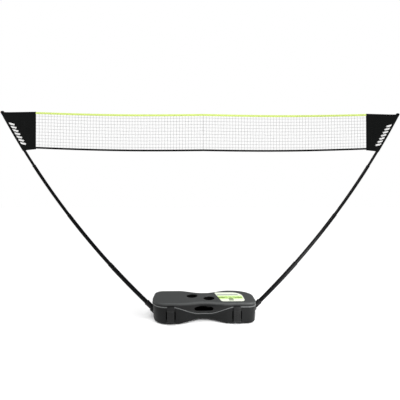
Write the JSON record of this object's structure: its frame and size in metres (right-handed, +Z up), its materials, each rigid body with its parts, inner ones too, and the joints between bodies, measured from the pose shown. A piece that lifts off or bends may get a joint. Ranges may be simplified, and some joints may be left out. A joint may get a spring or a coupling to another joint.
{
  "type": "portable badminton net",
  "caption": "Free-standing badminton net held by two bowed telescoping poles that plug into the ends of a low hinged carry case.",
  "frame": {"origin": "on the floor, below the middle of the carry case", "axes": "+X along the net, +Z up, the latches and the grip of the case face -Y"},
  "size_m": [2.9718, 0.274, 1.5205],
  "materials": {
    "case_plastic": "moulded dark grey plastic, fine grain",
    "lid_plastic": "moulded grey plastic, fine grain",
    "black_plastic": "satin black plastic",
    "steel": "plain steel",
    "rubber": "matt rubber",
    "pole_lacquer": "glossy black coating on aluminium tube",
    "black_cloth": "woven black polyester",
    "green_cloth": "woven yellow-green polyester tape",
    "net_twine": "knotted black twine",
    "label_film": "printed film"
  },
  "bodies": {
    "case": {"base_tub": "case_plastic", "base_foot_1": "rubber", "base_foot_2": "rubber", "base_foot_3": "rubber", "base_foot_4": "rubber", "hinge_pin_left": "steel", "latch_pin_left": "steel", "pole_socket_left": "black_plastic", "socket_screw_a_left": "steel", "socket_screw_b_left": "steel", "pole_tube_1_left": "pole_lacquer", "pole_foot_plug_left": "black_plastic", "hinge_pin_right": "steel", "latch_pin_right": "steel", "pole_socket_right": "black_plastic", "socket_screw_a_right": "steel", "socket_screw_b_right": "steel", "pole_tube_1_right": "pole_lacquer", "pole_foot_plug_right": "black_plastic"},
    "lid": {"base_lid": "lid_plastic", "lid_label": "label_film"},
    "latch_left": {"latch_left": "black_plastic"},
    "pole_stage_2_left": {"pole_tube_2_left": "pole_lacquer", "stage_plug_2_left": "black_plastic"},
    "pole_stage_3_left": {"pole_tube_3_left": "pole_lacquer", "stage_plug_3_left": "black_plastic"},
    "pole_tip_left": {"pole_tube_4_left": "pole_lacquer", "stage_plug_4_left": "black_plastic", "pole_tip_cap_left": "black_plastic", "net_pocket_left": "black_cloth"},
    "net_left": {"net_top_tape_left": "green_cloth", "net_mesh_left": "net_twine", "net_bottom_tape_left": "black_cloth"},
    "latch_right": {"latch_right": "black_plastic"},
    "pole_stage_2_right": {"pole_tube_2_right": "pole_lacquer", "stage_plug_2_right": "black_plastic"},
    "pole_stage_3_right": {"pole_tube_3_right": "pole_lacquer", "stage_plug_3_right": "black_plastic"},
    "pole_tip_right": {"pole_tube_4_right": "pole_lacquer", "stage_plug_4_right": "black_plastic", "pole_tip_cap_right": "black_plastic", "net_pocket_right": "black_cloth"},
    "net_right": {"net_top_tape_right": "green_cloth", "net_mesh_right": "net_twine", "net_bottom_tape_right": "black_cloth"}
  },
  "joints": [
    {"name": "lid_hinge", "type": "hinge", "parent": "case", "child": "lid", "pos_m": [0, 0.1315, 0.118], "axis": [-1, 0, 0], "range_deg": [0, 100]},
    {"name": "latch_right_hinge", "type": "hinge", "parent": "case", "child": "latch_right", "pos_m": [0.23, -0.1315, 0.022], "axis": [1, 0, 0], "range_deg": [0, 90]},
    {"name": "pole_slide_2_right", "type": "hinge", "parent": "case", "child": "pole_stage_2_right", "pos_m": [-3.50483, 0, 4.16729], "axis": [0, 1, 0], "range_deg": [0, 4.06]},
    {"name": "pole_slide_3_right", "type": "hinge", "parent": "pole_stage_2_right", "child": "pole_stage_3_right", "pos_m": [-3.50483, 0, 4.16729], "axis": [0, 1, 0], "range_deg": [0, 4.06]},
    {"name": "pole_slide_4_right", "type": "hinge", "parent": "pole_stage_3_right", "child": "pole_tip_right", "pos_m": [-3.50483, 0, 4.16729], "axis": [0, 1, 0], "range_deg": [0, 1.01]},
    {"name": "net_level_right", "type": "hinge", "parent": "pole_tip_right", "child": "net_right", "pos_m": [1.23185, 0, 4.54569], "axis": [0, -1, 0], "range_deg": [0, 9.13], "deforming": ["net_top_tape_right", "net_mesh_right", "net_bottom_tape_right"]},
    {"name": "latch_left_hinge", "type": "hinge", "parent": "case", "child": "latch_left", "pos_m": [-0.23, -0.1315, 0.022], "axis": [1, 0, 0], "range_deg": [0, 90]},
    {"name": "pole_slide_2_left", "type": "hinge", "parent": "case", "child": "pole_stage_2_left", "pos_m": [3.50483, 0, 4.16729], "axis": [0, -1, 0], "range_deg": [0, 4.06]},
    {"name": "pole_slide_3_left", "type": "hinge", "parent": "pole_stage_2_left", "child": "pole_stage_3_left", "pos_m": [3.50483, 0, 4.16729], "axis": [0, -1, 0], "range_deg": [0, 4.06]},
    {"name": "pole_slide_4_left", "type": "hinge", "parent": "pole_stage_3_left", "child": "pole_tip_left", "pos_m": [3.50483, 0, 4.16729], "axis": [0, -1, 0], "range_deg": [0, 1.01]},
    {"name": "net_level_left", "type": "hinge", "parent": "pole_tip_left", "child": "net_left", "pos_m": [-1.23185, 0, 4.54569], "axis": [0, 1, 0], "range_deg": [0, 9.13], "deforming": ["net_top_tape_left", "net_mesh_left", "net_bottom_tape_left"]}
  ],
  "couplings": [
    {"joint": "pole_slide_3_right", "follows": "pole_slide_2_right", "ratio": 1},
    {"joint": "pole_slide_4_right", "follows": "pole_slide_2_right", "ratio": 0.25},
    {"joint": "net_level_right", "follows": "pole_slide_2_right", "ratio": 2.25},
    {"joint": "pole_slide_2_left", "follows": "pole_slide_2_right", "ratio": 1},
    {"joint": "pole_slide_3_left", "follows": "pole_slide_2_right", "ratio": 1},
    {"joint": "pole_slide_4_left", "follows": "pole_slide_2_right", "ratio": 0.25},
    {"joint": "net_level_left", "follows": "pole_slide_2_right", "ratio": 2.25}
  ]
}
